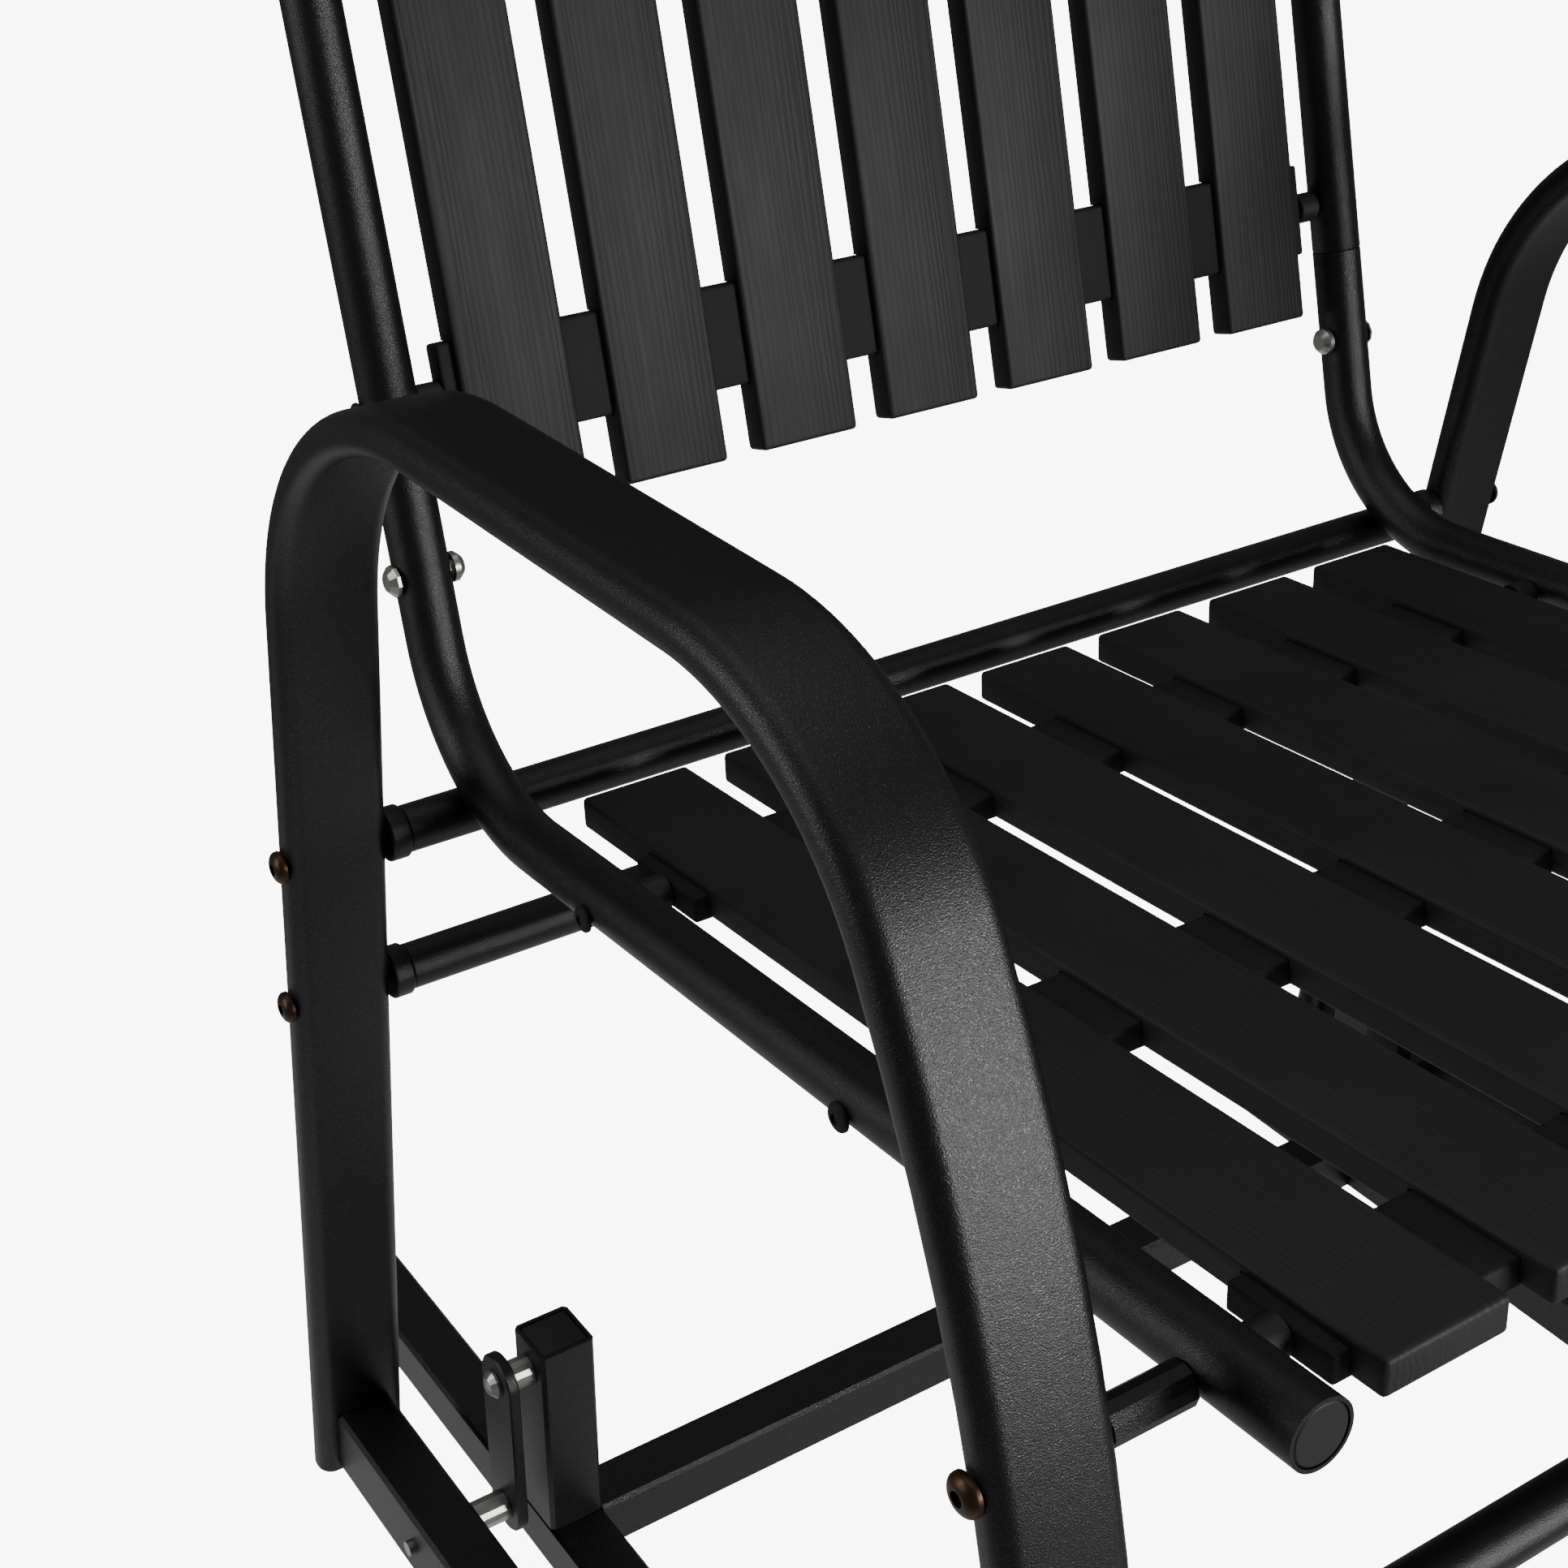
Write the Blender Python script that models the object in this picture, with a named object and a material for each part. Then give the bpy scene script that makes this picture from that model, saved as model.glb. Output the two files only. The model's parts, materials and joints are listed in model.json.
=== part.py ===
"""Single-seat gliding porch swing: slatted seat in a tube frame, hung by four links on a floor base.

World: metres, +Z up, the sitter faces -Y, the origin is on the floor below the middle of the base.
Side plane: the pair (y, z) measured from the corner where the seat line meets the back line.
"""
import math

import bmesh
import bpy
from mathutils import Matrix, Vector

# ---- Clearances -------------------------------------------------------------------------------
GAP = 0.0003                 # between pieces that touch
HOLE_GAP = 0.0003            # around a fixed bolt or an insert
RUNNING_GAP = 0.00009        # around a bolt that its link turns on
END_MARGIN = 0.010           # the base reaches past the seat by this much
RUN_OUT = 0.005              # a drill cutter passes each wall by this much

# ---- Seat and back ----------------------------------------------------------------------------
CORNER_HEIGHT = 0.430        # side-plane corner above the floor
SEAT_RISE = 4.4              # degrees, seat rises to the front
BACK_LEAN = 15.4             # degrees, back leans to the rear
SLATS = 7
SLAT_WIDTH = 0.055
SLAT_SPACE = 0.020
SLAT_THICK = 0.015
SLAT_CHAMFER = 0.0015
SLAT_PROUD = 0.006           # slat face in front of the tube's centre line
SEAT_SLAT_START = 0.052
SEAT_SLAT_LENGTH = 0.489
BACK_SLAT_START = 0.119
BACK_SLAT_LENGTH = 0.440

# ---- Cross bars under the slats ---------------------------------------------------------------
BAR_WIDTH = 0.048
BAR_THICK = 0.012
BAR_WALL = 0.0015
BAR_DROP = 0.004             # slat face to bar face
SEAT_BAR_REAR = 0.135
SEAT_BAR_MIDDLE = 0.321
BACK_BAR_LOWER = 0.176
BACK_BAR_UPPER = 0.502

# ---- Tubes ------------------------------------------------------------------------------------
TUBE_RADIUS = 0.013
TUBE_WALL = 0.0015
TUBE_BEND = 0.087
RAIL_LENGTH = 0.548
STILE_LENGTH = 0.570
SEAM = 0.150                 # joint between rail tube and stile, along the back
SPIGOT_LENGTH = 0.066
BACK_JOINT_BOLT = 0.102
CROSS_RADIUS = 0.011
COLLAR_RADIUS = 0.0125
COLLAR_LENGTH = 0.010
THREAD_DEPTH = 0.024         # leg bolt inside the cross tube's end
CROSS_DROP = 0.080           # lower cross tube below the upper one
END_DOME = 0.003             # closed tube ends

# ---- Arm frames -------------------------------------------------------------------------------
ARM_WIDTH = 0.048
ARM_THICK = 0.018
ARM_EDGE = 0.0080
ARM_WALL = 0.0018
ARM_SPACE = 0.0335           # side tube to arm frame
ARM_HEIGHT = 0.241           # armrest centre above the corner
ARM_HEIGHT_AT = -0.262
ARM_RISE = 1.1               # degrees
LEG_LEAN = 7.4               # degrees, both legs
REAR_BEND = 0.137
FRONT_BEND = 0.118
FRONT_BEND_START = -0.337
FRONT_SWEEP = 0.681
FRONT_SWEEP_FROM = 30.0      # degrees from upright where the long sweep begins
LEG_BOTTOM = 0.026
HANGER_HEIGHT = 0.048
HANGER_SECTION = (0.030, 0.040)
HANGER_WALL = 0.002

# ---- Base and links ---------------------------------------------------------------------------
BASE_SECTION = 0.030
BASE_WALL = 0.002
POST_TOP = 0.146
POST_INSET = 0.100           # post to the foot of the leg next to it
UPPER_PIVOT_HEIGHT = 0.130
LINK_THICK = 0.006
LINK_WIDTH = 0.030

# ---- Fasteners --------------------------------------------------------------------------------
M6 = 0.003
M8 = 0.004
SPACER_RADIUS = 0.008
HEAD_RADIUS = 0.0075
HEAD_HEIGHT = 0.005
THREAD_SHOWN = 0.003         # bolt end past the wall it is screwed into

# ---- Fineness ---------------------------------------------------------------------------------
TUBE_SIDES = 12
BOLT_SIDES = 10
PIVOT_SIDES = 16
BEND_STEP = 12.0             # degrees of bend for each length of tube
LINK_END_STEPS = 6
SHARP = math.radians(35)

# ---- Worked out from the above ----------------------------------------------------------------
INNER_WIDTH = SLATS * SLAT_WIDTH + (SLATS + 1) * SLAT_SPACE
TUBE_X = INNER_WIDTH / 2 + TUBE_RADIUS
ARM_X = TUBE_X + TUBE_RADIUS + ARM_SPACE + ARM_WIDTH / 2
ARM_INNER = ARM_X - ARM_WIDTH / 2
ARM_OUTER = ARM_X + ARM_WIDTH / 2
BAR_HALF = INNER_WIDTH / 2 - GAP
BAR_LEVEL = SLAT_PROUD - BAR_DROP - BAR_THICK / 2
POST_OUTER = TUBE_X + BASE_SECTION / 2
LINK_X = (POST_OUTER + ARM_INNER) / 2
HANGER_INNER = ARM_X - HANGER_SECTION[0] / 2
HANGER_OUTER = ARM_X + HANGER_SECTION[0] / 2
LINK_LENGTH = UPPER_PIVOT_HEIGHT - HANGER_HEIGHT
SEAT_HEADING = 180.0 - SEAT_RISE
BACK_HEADING = 90.0 - BACK_LEAN
SIDES = (("left", -1), ("right", 1))

BLACK = (0.020, 0.020, 0.021)
FINISHES = {
    "powder": (BLACK, 0.38, 0.35),
    "slat": ((0.026, 0.026, 0.027), 0.62, 0.0),
    "zinc": ((0.62, 0.62, 0.60), 0.35, 0.9),
    "bronze": ((0.10, 0.065, 0.04), 0.40, 0.8),
}


# ---- Side-plane geometry ----------------------------------------------------------------------
def polar(heading):
    """Unit vector in the side plane for a heading in degrees (0 is +Y, 90 is +Z)."""
    return Vector((math.cos(math.radians(heading)), math.sin(math.radians(heading))))


def trace(start, heading, moves):
    """Stations (spot, heading) along straight runs (length, 0) and bends (radius, turn)."""
    spot = Vector(start)
    stations = [(spot.copy(), heading)]
    for size, turn in moves:
        if turn == 0:
            spot = spot + polar(heading) * size
            stations.append((spot.copy(), heading))
            continue
        side = math.copysign(90.0, turn)
        centre = spot + polar(heading + side) * size
        steps = max(2, math.ceil(abs(turn) / BEND_STEP))
        for step in range(1, steps + 1):
            now = heading + turn * step / steps
            spot = centre - polar(now + side) * size
            stations.append((spot.copy(), now))
        heading += turn
    return stations


def meet(start_a, heading_a, start_b, heading_b):
    """Distance along line a to the point where it meets line b."""
    a, b = polar(heading_a), polar(heading_b)
    apart = Vector(start_b) - Vector(start_a)
    return (apart[0] * b[1] - apart[1] * b[0]) / (a[0] * b[1] - a[1] * b[0])


def leg_at(stations, height):
    """Side-plane y of a traced centre line's last crossing of a height."""
    found = None
    for (a, _), (b, _) in zip(stations, stations[1:]):
        if (a[1] - height) * (b[1] - height) <= 0 and a[1] != b[1]:
            found = a[0] + (b[0] - a[0]) * (height - a[1]) / (b[1] - a[1])
    return found


# Bend centre of the side tube, and the cross tube that lies against the bend's outside.
HALF_CORNER = (SEAT_HEADING - BACK_HEADING) / 2
BEND_CENTRE = polar(BACK_HEADING + HALF_CORNER) * (TUBE_BEND / math.sin(math.radians(HALF_CORNER)))
BEND_RUN = TUBE_BEND / math.tan(math.radians(HALF_CORNER))
CROSS_BEARING = -60.3
UPPER_CROSS = BEND_CENTRE + polar(CROSS_BEARING) * (TUBE_BEND + TUBE_RADIUS + CROSS_RADIUS + GAP)
LOWER_CROSS = UPPER_CROSS + polar(-90.0 + LEG_LEAN) * (CROSS_DROP / math.cos(math.radians(LEG_LEAN)))

# Arm frame centre line, from the rear foot over the armrest to the front foot.
REAR_UP = 90.0 + LEG_LEAN
ARM_HEADING = 180.0 - ARM_RISE
REAR_TURN = ARM_HEADING - REAR_UP
SWEEP_HEADING = 270.0 - FRONT_SWEEP_FROM
FRONT_DOWN = 270.0 - LEG_LEAN
FOOT_DROP = (UPPER_CROSS[1] + CORNER_HEIGHT - LEG_BOTTOM) / math.cos(math.radians(LEG_LEAN))
REAR_FOOT = UPPER_CROSS - polar(REAR_UP) * FOOT_DROP
ARM_POINT = Vector((ARM_HEIGHT_AT, ARM_HEIGHT))
REAR_RUN = meet(REAR_FOOT, REAR_UP, ARM_POINT, ARM_HEADING)
BEND_TAKE = REAR_BEND * math.tan(math.radians(REAR_TURN / 2))
ARM_CORNER = REAR_FOOT + polar(REAR_UP) * REAR_RUN
ARM_RUN = (ARM_CORNER[0] - FRONT_BEND_START) / math.cos(math.radians(ARM_RISE)) - BEND_TAKE
TOP_MOVES = [(REAR_RUN - BEND_TAKE, 0), (REAR_BEND, REAR_TURN), (ARM_RUN, 0),
             (FRONT_BEND, SWEEP_HEADING - ARM_HEADING), (FRONT_SWEEP, FRONT_DOWN - SWEEP_HEADING)]
SWEEP_END = trace(REAR_FOOT, REAR_UP, TOP_MOVES)[-1][0]
FRONT_RUN = (SWEEP_END[1] + CORNER_HEIGHT - LEG_BOTTOM) / math.cos(math.radians(LEG_LEAN))
ARM_LINE = trace(REAR_FOOT, REAR_UP, TOP_MOVES + [(FRONT_RUN, 0)])
FRONT_CROSS = Vector((leg_at(ARM_LINE, LOWER_CROSS[1]), LOWER_CROSS[1]))

# The front leg crosses the seat rail: one long bolt holds leg, rail and front bar there.
CROSSING = Vector((leg_at(ARM_LINE, RAIL_LENGTH * math.sin(math.radians(SEAT_RISE))), 0.0))
SEAT_BAR_FRONT = -CROSSING[0] / math.cos(math.radians(SEAT_RISE))

# Posts stand between the feet, out of the way of the legs.
REAR_POST = REAR_FOOT[0] - POST_INSET
FRONT_POST = ARM_LINE[-1][0][0] + POST_INSET
PIVOTS = (("rear", REAR_POST), ("front", FRONT_POST))

# The base reaches past the stile tops and the front feet; its middle is the world's origin.
STILE_END = polar(BACK_HEADING) * (STILE_LENGTH + END_DOME)
BASE_REAR = STILE_END[0] + TUBE_RADIUS * math.cos(math.radians(BACK_LEAN)) + END_MARGIN
BASE_FRONT = ARM_LINE[-1][0][0] - ARM_THICK / 2 - END_MARGIN
CORNER_Y = -(BASE_REAR + BASE_FRONT) / 2
CORNER = Vector((0.0, CORNER_Y, CORNER_HEIGHT))
BASE_LENGTH = BASE_REAR - BASE_FRONT
FLOOR_RAIL_LEVEL = BASE_SECTION / 2
SEAT_BARS = (SEAT_BAR_REAR, SEAT_BAR_MIDDLE, SEAT_BAR_FRONT)
BACK_BARS = (BACK_BAR_LOWER, BACK_BAR_UPPER)
JOINT_SPOT = polar(BACK_HEADING) * BACK_JOINT_BOLT
FRONT_SPOT = polar(SEAT_HEADING) * SEAT_BAR_FRONT + polar(SEAT_HEADING - 90.0) * BAR_LEVEL


def world(x, spot):
    """World point for a side-plane spot at the given x."""
    return Vector((x, CORNER_Y + spot[0], CORNER_HEIGHT + spot[1]))


def plane(heading, turn, x, along, face):
    """Placement on the seat or back: local y runs from the corner, local z faces the sitter."""
    away, out = polar(heading), polar(heading + turn)
    spot = world(x, away * along + out * face)
    axis_x = Vector((0, *away)).cross(Vector((0, *out)))
    matrix = Matrix((axis_x, (0, *away), (0, *out))).transposed().to_4x4()
    return Matrix.Translation(spot) @ matrix


def on_seat(x, along, face=0.0):
    return plane(SEAT_HEADING, -90.0, x, along, face)


def on_back(x, along, face=0.0):
    return plane(BACK_HEADING, 90.0, x, along, face)


def aim(point, direction):
    """Placement that points a turned piece's local x along a direction."""
    turn = Vector((1, 0, 0)).rotation_difference(Vector(direction)).to_matrix().to_4x4()
    return Matrix.Translation(point) @ turn


# ---- Shapes -----------------------------------------------------------------------------------
def finish_mesh(bm, name, smooth):
    bmesh.ops.recalc_face_normals(bm, faces=bm.faces)
    mesh = bpy.data.meshes.new(name)
    bm.to_mesh(mesh)
    bm.free()
    if smooth:
        mesh.shade_smooth()
        mesh.set_sharp_from_angle(angle=SHARP)
    return mesh


def loft(name, rings, hollow, smooth=True):
    """Skin rings of equal count; a hollow one closes from its last ring back to its first."""
    bm = bmesh.new()
    made = [[bm.verts.new(point) for point in ring] for ring in rings]
    pairs = list(zip(made, made[1:]))
    if hollow:
        pairs.append((made[-1], made[0]))
    else:
        bm.faces.new(made[0])
        bm.faces.new(made[-1])
    for one, two in pairs:
        for i in range(len(one)):
            j = (i + 1) % len(one)
            bm.faces.new((one[i], one[j], two[j], two[i]))
    return finish_mesh(bm, name, smooth)


def round_outline(radius, sides):
    turn = 2 * math.pi / sides
    return [(radius * math.cos(turn * (i + 0.5)), radius * math.sin(turn * (i + 0.5)))
            for i in range(sides)]


def soft_outline(width, height, corner, steps):
    """Rectangle with rounded corners."""
    points = []
    for sign_x, sign_y, first in ((1, 1, 0), (-1, 1, 90), (-1, -1, 180), (1, -1, 270)):
        for step in range(steps + 1):
            out = polar(first + 90.0 * step / steps) * corner
            points.append((sign_x * (width / 2 - corner) + out[0],
                           sign_y * (height / 2 - corner) + out[1]))
    return points


def station_ring(station, outline):
    spot, heading = station
    side = polar(heading + 90.0)
    return [Vector((a, spot[0] + b * side[0], spot[1] + b * side[1])) for a, b in outline]


def bent_tube(name, stations, outer, inner):
    rings = [station_ring(s, outer) for s in stations]
    rings += [station_ring(s, inner) for s in reversed(stations)]
    return loft(name, rings, hollow=True)


def box_tube(name, length, width, height, wall, corner=0.002):
    """Square-cornered tube along local x, centred, open at both ends."""
    outer = soft_outline(width, height, corner, 1)
    inner = soft_outline(width - 2 * wall, height - 2 * wall, corner / 2, 1)
    ends = (-length / 2, length / 2)
    rings = [[Vector((x, a, b)) for a, b in outer] for x in ends]
    rings += [[Vector((x, a, b)) for a, b in inner] for x in reversed(ends)]
    return loft(name, rings, hollow=True)


def turned(name, profile, sides):
    """Spin (radius, x) pairs about local x; a profile off the axis makes a ring."""
    bm = bmesh.new()
    verts = [bm.verts.new((x, radius, 0.0)) for radius, x in profile]
    edges = [bm.edges.new(pair) for pair in zip(verts, verts[1:])]
    if profile[0][0] > 0:
        edges.append(bm.edges.new((verts[-1], verts[0])))
    bmesh.ops.spin(bm, geom=verts + edges, cent=(0, 0, 0), axis=(1, 0, 0),
                   angle=2 * math.pi, steps=sides, use_merge=True)
    bmesh.ops.remove_doubles(bm, verts=bm.verts, dist=1e-6)
    return finish_mesh(bm, name, smooth=True)


def block(name, size, chamfer=0.0):
    """Box centred on its origin, with its edges cut."""
    bm = bmesh.new()
    bmesh.ops.create_cube(bm, size=1.0)
    bmesh.ops.scale(bm, vec=size, verts=bm.verts)
    if chamfer:
        bmesh.ops.bevel(bm, geom=bm.edges[:], offset=chamfer, segments=1, affect='EDGES')
    return finish_mesh(bm, name, smooth=False)


def cut(mesh, placed, smooth=True):
    """Cut (mesh, placement) solids, clear of each other, out of a mesh with one Boolean."""
    bm = bmesh.new()
    for tool, matrix in placed:
        copy = tool.copy()
        copy.transform(matrix)
        bm.from_mesh(copy)
        bpy.data.meshes.remove(copy)
    cutter_mesh = bpy.data.meshes.new("cutter")
    bm.to_mesh(cutter_mesh)
    bm.free()
    body = bpy.data.objects.new("body", mesh)
    cutter = bpy.data.objects.new("cutter", cutter_mesh)
    for thing in (body, cutter):
        bpy.context.collection.objects.link(thing)
    cutter.hide_render = True
    cutter.display_type = 'WIRE'
    modifier = body.modifiers.new("cut", 'BOOLEAN')
    modifier.operation = 'DIFFERENCE'
    modifier.solver = 'EXACT'
    modifier.object = cutter
    bpy.context.view_layer.update()
    evaluated = body.evaluated_get(bpy.context.evaluated_depsgraph_get())
    result = bpy.data.meshes.new_from_object(evaluated)
    result.name = mesh.name
    for thing in (body, cutter):
        bpy.data.objects.remove(thing)
    result.materials.clear()
    if smooth:
        result.shade_smooth()
        result.set_sharp_from_angle(angle=SHARP)
    return result


def drill(radius, length, point, direction=(1, 0, 0), sides=BOLT_SIDES):
    """Cutter for a hole centred on a point."""
    rod = turned("drill", [(0, -length / 2), (radius, -length / 2), (radius, length / 2),
                           (0, length / 2)], sides)
    return rod, aim(Vector(point), direction)


def bolt(name, radius, length, sides):
    """Domed bolt: underside of the head at the origin, shank along +x."""
    profile = [(0, -HEAD_HEIGHT), (HEAD_RADIUS * 0.6, -HEAD_HEIGHT * 0.86),
               (HEAD_RADIUS, -HEAD_HEIGHT * 0.3), (HEAD_RADIUS, 0), (radius, 0),
               (radius, length), (0, length)]
    return turned(name, profile, sides)


# ---- Objects ----------------------------------------------------------------------------------
def make(name, mesh, finish, placement, parent):
    thing = bpy.data.objects.new(name, mesh)
    bpy.context.collection.objects.link(thing)
    material = bpy.data.materials.new(name)
    material.use_nodes = True
    colour, roughness, metallic = FINISHES[finish]
    shader = material.node_tree.nodes["Principled BSDF"]
    shader.inputs["Base Color"].default_value = (*colour, 1.0)
    shader.inputs["Roughness"].default_value = roughness
    shader.inputs["Metallic"].default_value = metallic
    if not mesh.materials:
        mesh.materials.append(None)
    thing.material_slots[0].link = 'OBJECT'
    thing.material_slots[0].material = material
    thing.parent = parent
    thing.matrix_parent_inverse = parent.matrix_world.inverted()
    thing.matrix_basis = placement
    return thing


def axis_empty(name, point):
    empty = bpy.data.objects.new(name, None)
    bpy.context.collection.objects.link(empty)
    empty.matrix_world = Matrix.Translation(point)
    bpy.context.view_layer.update()
    return empty


def make_pair(name, mesh, finish, x, parent):
    """Left and right copies of a side-plane mesh whose own plane is x = 0."""
    for side_name, side in SIDES:
        place = Matrix.Translation(CORNER + Vector((side * x, 0, 0)))
        make(f"{name}_{side_name}", mesh, finish, place, parent)


def aim_pair(name, mesh, finish, x, spot, parent, inward=True):
    """Left and right turned pieces on a side-plane spot, pointing inward or outward."""
    for side_name, side in SIDES:
        way = -side if inward else side
        make(f"{name}_{side_name}", mesh, finish, aim(world(side * x, spot), (way, 0, 0)), parent)


def build_side_tubes(seat):
    """Seat rail bent up into the back, and the stile whose swaged end slides into it."""
    bore = TUBE_RADIUS - TUBE_WALL
    outer = round_outline(TUBE_RADIUS, TUBE_SIDES)
    inner = round_outline(bore, TUBE_SIDES)
    start = polar(SEAT_HEADING) * RAIL_LENGTH
    stations = trace(start, SEAT_HEADING + 180.0,
                     [(RAIL_LENGTH - BEND_RUN, 0), (TUBE_BEND, 180.0 - 2 * HALF_CORNER),
                      (SEAM - BEND_RUN, 0)])
    blind = (start - polar(SEAT_HEADING) * TUBE_WALL, stations[0][1])
    rings = [station_ring(s, inner) for s in [blind] + stations[1:]]
    rings += [station_ring(s, outer) for s in reversed(stations)]
    rail = loft("side_rail", rings, hollow=False)
    across = 2 * (TUBE_RADIUS + RUN_OUT)
    joint = drill(M8 + HOLE_GAP, across, (0, *JOINT_SPOT))
    rail = cut(rail, [joint, drill(M6 + HOLE_GAP, across, (0, *FRONT_SPOT))])
    make_pair("side_rail", rail, "powder", TUBE_X, seat)

    swage = bore - HOLE_GAP
    neck = SEAM + GAP
    top = STILE_LENGTH
    profile = [(0, top + END_DOME), (TUBE_RADIUS * 0.7, top + END_DOME * 0.8), (TUBE_RADIUS, top),
               (TUBE_RADIUS, neck), (swage, neck), (swage, SEAM - SPIGOT_LENGTH),
               (swage - TUBE_WALL, SEAM - SPIGOT_LENGTH), (swage - TUBE_WALL, neck + TUBE_WALL),
               (bore, neck + TUBE_WALL), (bore, top - TUBE_WALL), (0, top - TUBE_WALL)]
    stile = turned("back_stile", profile, TUBE_SIDES)
    stile.transform(aim((0, 0, 0), (0, *polar(BACK_HEADING))))
    stile = cut(stile, [joint])
    make_pair("back_stile", stile, "powder", TUBE_X, seat)
    shank = 2 * TUBE_RADIUS + GAP + THREAD_SHOWN
    piece = bolt("back_joint_bolt", M8, shank, BOLT_SIDES)
    aim_pair("back_joint_bolt", piece, "zinc", TUBE_X + TUBE_RADIUS + GAP, JOINT_SPOT, seat)


def build_arm_frames(seat):
    """Flat oval tube bent into rear leg, armrest and front leg."""
    outer = soft_outline(ARM_WIDTH, ARM_THICK, ARM_EDGE, 2)
    inner = soft_outline(ARM_WIDTH - 2 * ARM_WALL, ARM_THICK - 2 * ARM_WALL, ARM_EDGE - ARM_WALL, 2)
    arm = bent_tube("arm_frame", ARM_LINE, outer, inner)
    across = ARM_WIDTH + 2 * RUN_OUT
    holes = ((UPPER_CROSS, M8), (LOWER_CROSS, M8), (FRONT_SPOT, M6))
    arm = cut(arm, [drill(radius + HOLE_GAP, across, (0, *spot)) for spot, radius in holes])
    make_pair("arm_frame", arm, "powder", ARM_X, seat)
    leg_face = ARM_INNER - GAP
    profile = [(M6 + HOLE_GAP, 0), (SPACER_RADIUS, 0), (SPACER_RADIUS, ARM_SPACE - 2 * GAP),
               (M6 + HOLE_GAP, ARM_SPACE - 2 * GAP)]
    spacer = turned("front_leg_spacer", profile, TUBE_SIDES)
    aim_pair("front_leg_spacer", spacer, "powder", leg_face, FRONT_SPOT, seat)
    shank = ARM_OUTER + GAP - (TUBE_X - TUBE_RADIUS) + THREAD_SHOWN
    piece = bolt("front_leg_bolt", M6, shank, BOLT_SIDES)
    aim_pair("front_leg_bolt", piece, "bronze", ARM_OUTER + GAP, FRONT_SPOT, seat)


def build_cross_tubes(seat):
    """Three round tubes between the legs, collared at their ends; bolts hold the rear two."""
    bore = CROSS_RADIUS - TUBE_WALL
    half = ARM_INNER - GAP
    neck = half - COLLAR_LENGTH
    profile = [(bore, -half), (COLLAR_RADIUS, -half), (COLLAR_RADIUS, -neck), (CROSS_RADIUS, -neck),
               (CROSS_RADIUS, neck), (COLLAR_RADIUS, neck), (COLLAR_RADIUS, half), (bore, half)]
    tube = turned("cross_tube", profile, TUBE_SIDES)
    spots = (("upper", UPPER_CROSS), ("lower", LOWER_CROSS), ("front", FRONT_CROSS))
    for name, spot in spots:
        make(f"{name}_cross_tube", tube, "powder", Matrix.Translation(world(0, spot)), seat)
    piece = bolt("leg_bolt", M8, ARM_WIDTH + GAP + THREAD_DEPTH, BOLT_SIDES)
    for name, spot in spots[:2]:
        aim_pair(f"{name}_leg_bolt", piece, "bronze", ARM_OUTER + GAP, spot, seat)


def slat_mesh(name, start, length, bars):
    """Slat with its face at z = 0, y from the corner, notched over the bars."""
    slat = block(name, (SLAT_WIDTH, length, SLAT_THICK), SLAT_CHAMFER)
    slat.transform(Matrix.Translation((0, start + length / 2, -SLAT_THICK / 2)))
    depth = SLAT_THICK - BAR_DROP + GAP
    notch = block("notch", (SLAT_WIDTH + 2 * RUN_OUT, BAR_WIDTH + 2 * GAP, 2 * depth))
    return cut(slat, [(notch, Matrix.Translation((0, bar, -SLAT_THICK))) for bar in bars], False)


def build_slats(seat):
    seat_slat = slat_mesh("seat_slat", SEAT_SLAT_START, SEAT_SLAT_LENGTH, SEAT_BARS)
    back_slat = slat_mesh("back_slat", BACK_SLAT_START, BACK_SLAT_LENGTH, BACK_BARS)
    for number in range(SLATS):
        x = (number - (SLATS - 1) / 2) * (SLAT_WIDTH + SLAT_SPACE)
        make(f"seat_slat_{number + 1}", seat_slat, "slat", on_seat(x, 0, SLAT_PROUD), seat)
        make(f"back_slat_{number + 1}", back_slat, "slat", on_back(x, 0, SLAT_PROUD), seat)


def build_bars(seat):
    """Flat tubes under the slats, welded between the side tubes."""
    bar = box_tube("bar", 2 * BAR_HALF, BAR_WIDTH, BAR_THICK, BAR_WALL)
    named = [("seat_bar_rear", on_seat, SEAT_BAR_REAR), ("seat_bar_middle", on_seat, SEAT_BAR_MIDDLE),
             ("seat_bar_front", on_seat, SEAT_BAR_FRONT), ("back_bar_lower", on_back, BACK_BAR_LOWER),
             ("back_bar_upper", on_back, BACK_BAR_UPPER)]
    for name, surface, along in named:
        make(name, bar, "powder", surface(0, along, BAR_LEVEL), seat)


def build_hangers(seat):
    """Level tube between the feet of each arm frame, its ends cut to the legs' lean."""
    half = HANGER_SECTION[1] / 2
    slope = math.tan(math.radians(LEG_LEAN))
    face = (ARM_THICK / 2 + GAP) / math.cos(math.radians(LEG_LEAN))
    drop = HANGER_HEIGHT - CORNER_HEIGHT
    foot = ARM_LINE[-1][0]

    def rear(level):
        return REAR_FOOT[0] - (drop + level - REAR_FOOT[1]) * slope - face

    def front(level):
        return foot[0] + (drop + level - foot[1]) * slope + face

    outer = soft_outline(HANGER_SECTION[0], 2 * half, 0.002, 1)
    inner = soft_outline(HANGER_SECTION[0] - 2 * HANGER_WALL, 2 * (half - HANGER_WALL), 0.002, 1)
    rings = [[Vector((a, end(b), drop + b)) for a, b in shape]
             for shape, end in ((outer, rear), (outer, front), (inner, front), (inner, rear))]
    rail = loft("hanger_rail", rings, hollow=True)
    across = HANGER_SECTION[0] + 2 * RUN_OUT
    rail = cut(rail, [drill(M8 + HOLE_GAP, across, (0, y, drop)) for _, y in PIVOTS])
    make_pair("hanger_rail", rail, "powder", ARM_X, seat)


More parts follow.
